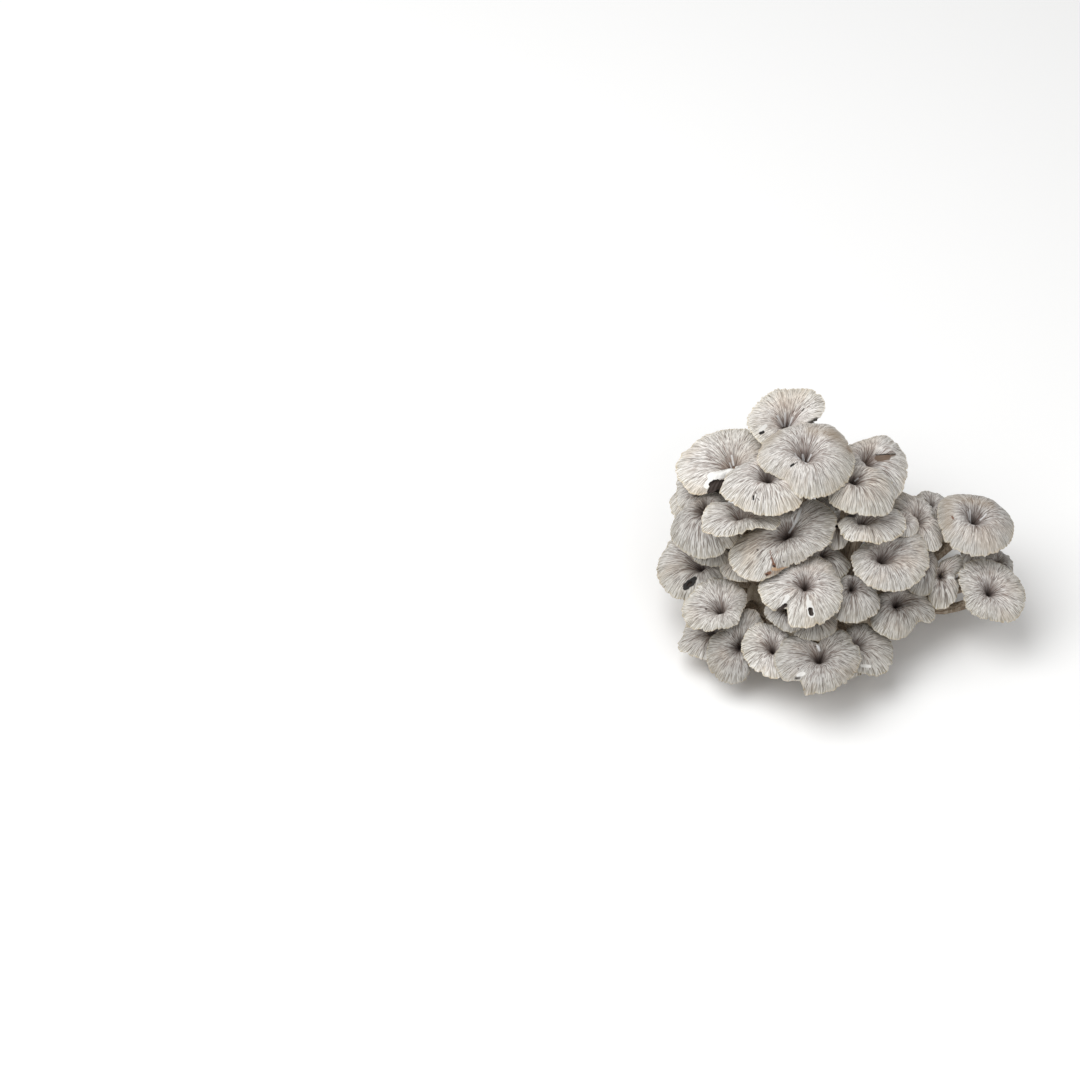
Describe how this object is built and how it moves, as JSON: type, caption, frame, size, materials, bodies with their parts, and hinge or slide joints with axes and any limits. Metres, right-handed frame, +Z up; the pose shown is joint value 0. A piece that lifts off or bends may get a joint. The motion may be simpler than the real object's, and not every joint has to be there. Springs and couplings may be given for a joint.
{
  "type": "oyster mushroom cluster",
  "caption": "Cluster of grey oyster mushrooms: overlapping funnel-shaped caps with waved margins and gills, on slim stems that grow out of one flat-cut butt.",
  "frame": {"origin": "middle of the flat cut face under the main butt, on the surface that the cluster stands on", "axes": "+X to the viewer's right, towards the side group of caps; +Y away from the viewer, towards the back; +Z up, out of the cut face"},
  "size_m": [0.2959, 0.2557, 0.1647],
  "materials": {
    "cap_skin": "matte",
    "butt_flesh": "matte"
  },
  "bodies": {
    "root": {"butt": "butt_flesh", "centre_behind": "cap_skin", "centre_large": "cap_skin", "centre_small": "cap_skin", "centre_tucked": "cap_skin", "crown_back": "cap_skin", "crown_front": "cap_skin", "crown_left": "cap_skin", "crown_middle": "cap_skin", "crown_right": "cap_skin", "crown_right_back": "cap_skin", "far_left": "cap_skin", "front_foot": "cap_skin", "front_left": "cap_skin", "front_left_low": "cap_skin", "front_low": "cap_skin", "front_right_low": "cap_skin", "front_split": "cap_skin", "front_tucked": "cap_skin", "front_under": "cap_skin", "left_curl": "cap_skin", "left_foot": "cap_skin", "left_lower": "cap_skin", "left_shoulder": "cap_skin", "left_tucked": "cap_skin", "left_under": "cap_skin", "left_upper": "cap_skin", "rear_left": "cap_skin", "rear_low": "cap_skin", "rear_low_left": "cap_skin", "rear_low_right": "cap_skin", "rear_middle_left": "cap_skin", "rear_middle_right": "cap_skin", "rear_right": "cap_skin", "rear_side": "cap_skin", "rear_top": "cap_skin", "rear_top_left": "cap_skin", "rear_top_right": "cap_skin", "right_edge": "cap_skin", "right_far": "cap_skin", "right_front": "cap_skin", "right_hanging": "cap_skin", "right_large": "cap_skin", "right_lower": "cap_skin", "right_upper": "cap_skin", "side_back": "cap_skin", "side_between": "cap_skin", "side_crown": "cap_skin", "side_fold": "cap_skin", "side_front": "cap_skin", "side_tucked": "cap_skin", "side_under": "cap_skin"}
  },
  "joints": []
}
